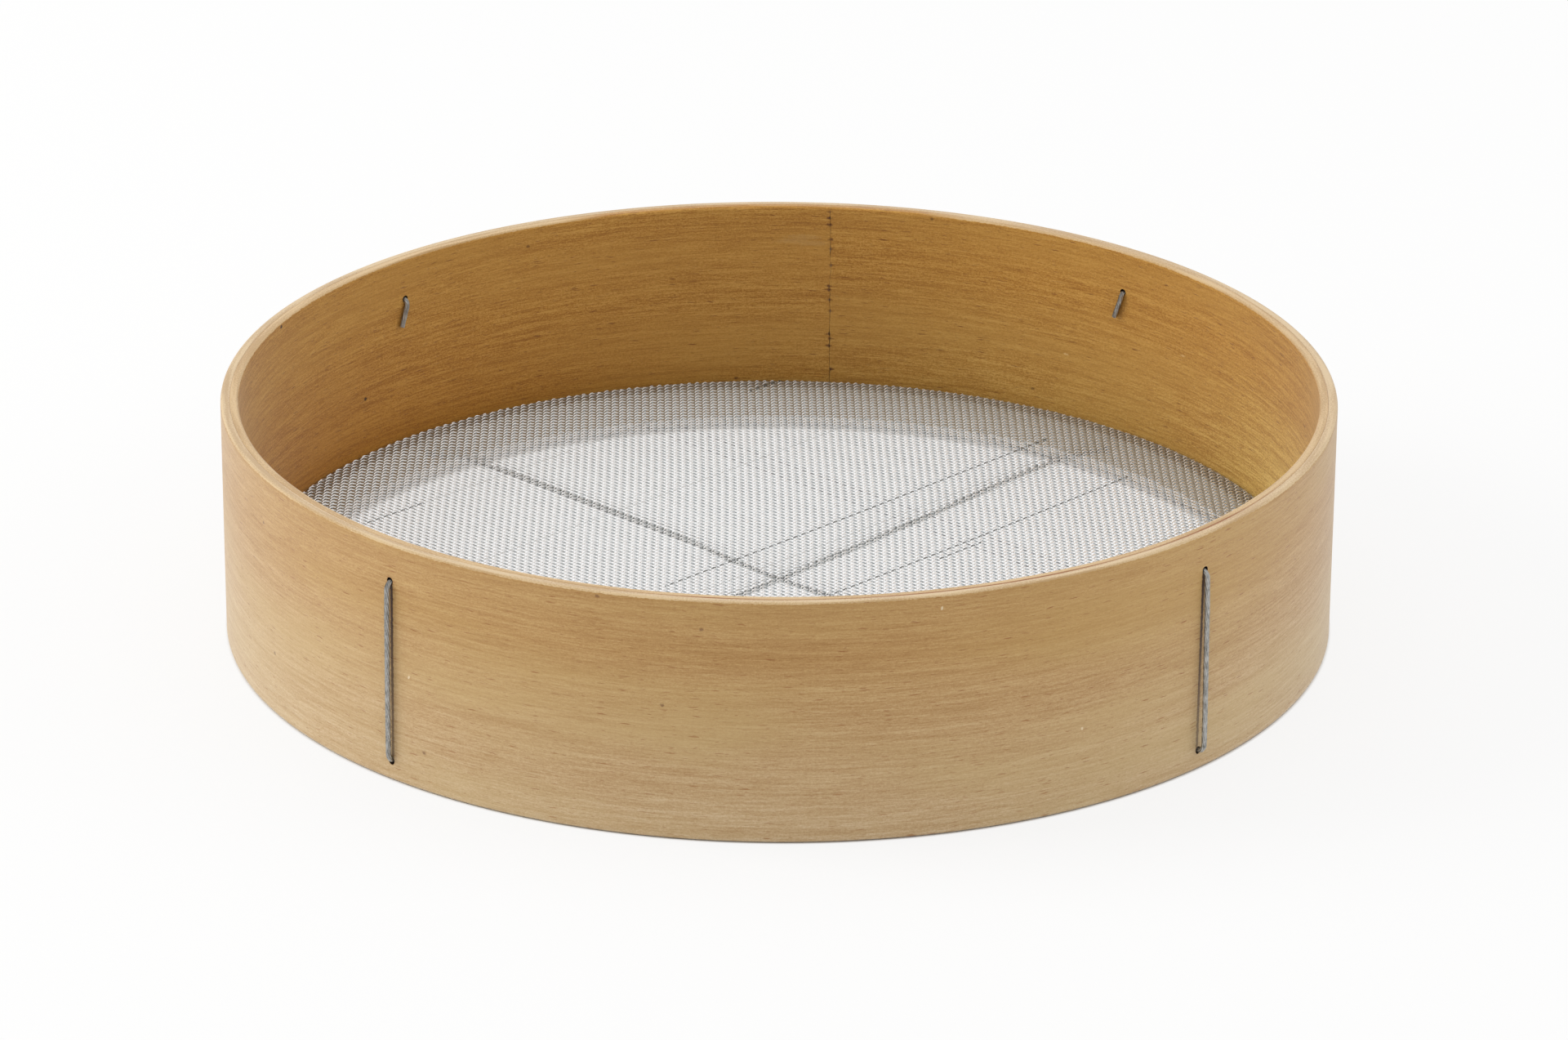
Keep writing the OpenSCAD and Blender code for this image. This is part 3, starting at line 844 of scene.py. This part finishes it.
def ring_wood():
    """The clamp ring's beech, whose grain runs round it, from its place alone."""
    f = Finish("beech_ring")
    place = f.add("ShaderNodeSeparateXYZ", {0: f.place()})
    angle = f.math("ARCTAN2", place.outputs[1], place.outputs[0])
    radius = f.math("SQRT", f.math("ADD", f.math("POWER", place.outputs[0], 2.0),
                                   f.math("POWER", place.outputs[1], 2.0)))
    along = f.math("MULTIPLY", angle, RING_GRAIN_R)
    across = f.math("MULTIPLY", f.math("ADD", place.outputs[2], radius), 1000.0)
    grain = f.add("ShaderNodeCombineXYZ", {0: along, 1: across}).outputs[0]
    streaks = f.noise(f.stretch(grain, (1 / 50, 1 / 1.4, 1)), 3)
    fibres = f.noise(f.stretch(grain, (1 / 6, 1 / 0.3, 1)), 2)
    tone = f.spread(f.math("ADD", streaks, f.math("MULTIPLY", fibres, 0.5)), 0.5, 1.0)
    # the pale wood is darkened and browned, and a painted shade makes it darker towards the left
    side = f.mix(f.spread(place.outputs[0], -0.09, 0.09), (0.36, 0.33, 0.28, 1), (0.5, 0.46, 0.38, 1))
    wood = f.mix(tone, shade(226, 210, 184), shade(240, 229, 208))
    f.set(Base_Color=f.mix(1.0, wood, side, "MULTIPLY"), Roughness=0.62)
    f.set(Normal=f.bump(fibres, 0.00008, 0.5))
    return f.material


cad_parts["clamp_ring"].data.materials.clear()
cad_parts["clamp_ring"].data.materials.append(ring_wood())

# Stage
FLOOR_HALF = 5.0
FLOOR_Z = -0.0002
floor_mesh = bpy.data.meshes.new("floor")
floor_mesh.from_pydata([(-FLOOR_HALF, -FLOOR_HALF, FLOOR_Z), (FLOOR_HALF, -FLOOR_HALF, FLOOR_Z),
                        (FLOOR_HALF, FLOOR_HALF, FLOOR_Z), (-FLOOR_HALF, FLOOR_HALF, FLOOR_Z)],
                       [], [(0, 1, 2, 3)])
floor = bpy.data.objects.new("floor", floor_mesh)
bpy.context.scene.collection.objects.link(floor)


def paper(name):
    """White paper that glows to the camera: less beyond the hoop, where its shadow falls."""
    f = Finish(name)
    f.set(Base_Color=(0.86, 0.86, 0.85, 1), Roughness=0.9)
    path = f.add("ShaderNodeLightPath", {})
    glow = f.add("ShaderNodeEmission", {"Color": (1, 1, 1, 1), "Strength": 1.0})
    seen = f.math("MAXIMUM", path.outputs["Is Camera Ray"], path.outputs["Is Transmission Ray"])
    seen = f.math("MAXIMUM", seen, path.outputs["Is Glossy Ray"])
    away = f.add("ShaderNodeVectorMath", {0: f.place()}, operation="LENGTH").outputs["Value"]
    under = f.math("MULTIPLY", f.spread(away, (RING_IN_R - 3) * MM, (RING_IN_R - 0.8) * MM),
                   f.spread(away, (OUTER_R + 0.5) * MM, (OUTER_R - 0.5) * MM))
    seen = f.math("MULTIPLY", seen, f.spread(away, INNER_R * MM, OUTER_R * MM, 0.98, 0.8))
    seen = f.math("MULTIPLY", seen, f.spread(under, 0.0, 1.0, 1.0, 0.0))
    both = f.add("ShaderNodeMixShader", {0: seen, 1: f.shader.outputs[0], 2: glow.outputs[0]})
    f.tree.links.new(both.outputs[0], f.tree.nodes["Material Output"].inputs[0])
    return f.material


floor_mesh.materials.append(paper("white_paper"))

AMBIENT = 0.75
HORIZON = 0.85
DIM_SIDE = Vector((-0.92, -0.2, 0.34)).normalized()
DIM_SHINE = 0.2


def studio():
    """An even white room. Metal sees it dimmer near the horizon, and dimmest low on the left."""
    made = bpy.data.worlds.new("studio")
    made.use_nodes = True
    f = Finish.__new__(Finish)
    f.tree = made.node_tree
    path = f.add("ShaderNodeLightPath", {})
    look = f.add("ShaderNodeTexCoord", {}).outputs["Generated"]
    height = f.add("ShaderNodeSeparateXYZ", {0: look}).outputs[2]
    side = f.add("ShaderNodeVectorMath", {0: look, 1: tuple(DIM_SIDE)}, operation="DOT_PRODUCT")
    shine = f.spread(height, 0.2, 0.65, HORIZON, 1.0)
    shine = f.math("MULTIPLY", shine, f.spread(side.outputs["Value"], 0.5, 0.85, 1.0, DIM_SHINE))
    gain = f.math("MULTIPLY", path.outputs["Is Glossy Ray"], f.math("SUBTRACT", shine, AMBIENT))
    strength = f.math("ADD", gain, AMBIENT)
    strength = f.math("MAXIMUM", strength, path.outputs["Is Camera Ray"])
    f.put(made.node_tree.nodes["Background"].inputs["Strength"], strength)
    f.put(made.node_tree.nodes["Background"].inputs["Color"], (1, 1, 1, 1))
    return made


bpy.context.scene.world = studio()


def softbox(name, place, target, size, power):
    lamp = bpy.data.lights.new(name, "AREA")
    lamp.shape = "RECTANGLE"
    lamp.size, lamp.size_y = size
    lamp.energy = power
    made = bpy.data.objects.new(name, lamp)
    made.location = place
    made.rotation_euler = (Vector(target) - Vector(place)).to_track_quat("-Z", "Y").to_euler()
    made.visible_glossy = False
    bpy.context.scene.collection.objects.link(made)


LAMP_TARGET = (0, 0, 0.03)
softbox("left", (-2.0, 0.1, 1.0), LAMP_TARGET, (1.2, 1.6), 28)
softbox("right", (2.0, 0.0, 1.0), LAMP_TARGET, (1.2, 1.6), 9)
softbox("top", (0, 0.5, 2.1), LAMP_TARGET, (2.0, 1.6), 4)

# Camera, fitted to the rim and the base of the photographed hoop, in a frame of 1920 by 1273 pixels
CAMERA_AT = (0, -1.64768, 0.69885)
CAMERA_RIGHT = (0.999987, 0.001125, 0.004977)
CAMERA_UP = (-0.005033, 0.377744, 0.925897)
CAMERA_FORWARD = (0.000838, 0.925910, -0.377744)
FOCAL_PX = 8026.8
FRAME_PX = 1920
SENSOR = 36

camera_data = bpy.data.cameras.new("camera")
camera_data.sensor_width = SENSOR
camera_data.lens = FOCAL_PX * SENSOR / FRAME_PX
camera_data.clip_start = 0.05
camera_data.clip_end = 30
camera = bpy.data.objects.new("camera", camera_data)
bpy.context.scene.collection.objects.link(camera)
turned = Matrix((CAMERA_RIGHT, CAMERA_UP, [-c for c in CAMERA_FORWARD])).transposed()
camera.matrix_world = Matrix.Translation(CAMERA_AT) @ turned.to_4x4()
bpy.context.scene.camera = camera
bpy.context.scene.view_settings.view_transform = "Standard"

bpy.context.view_layer.update()
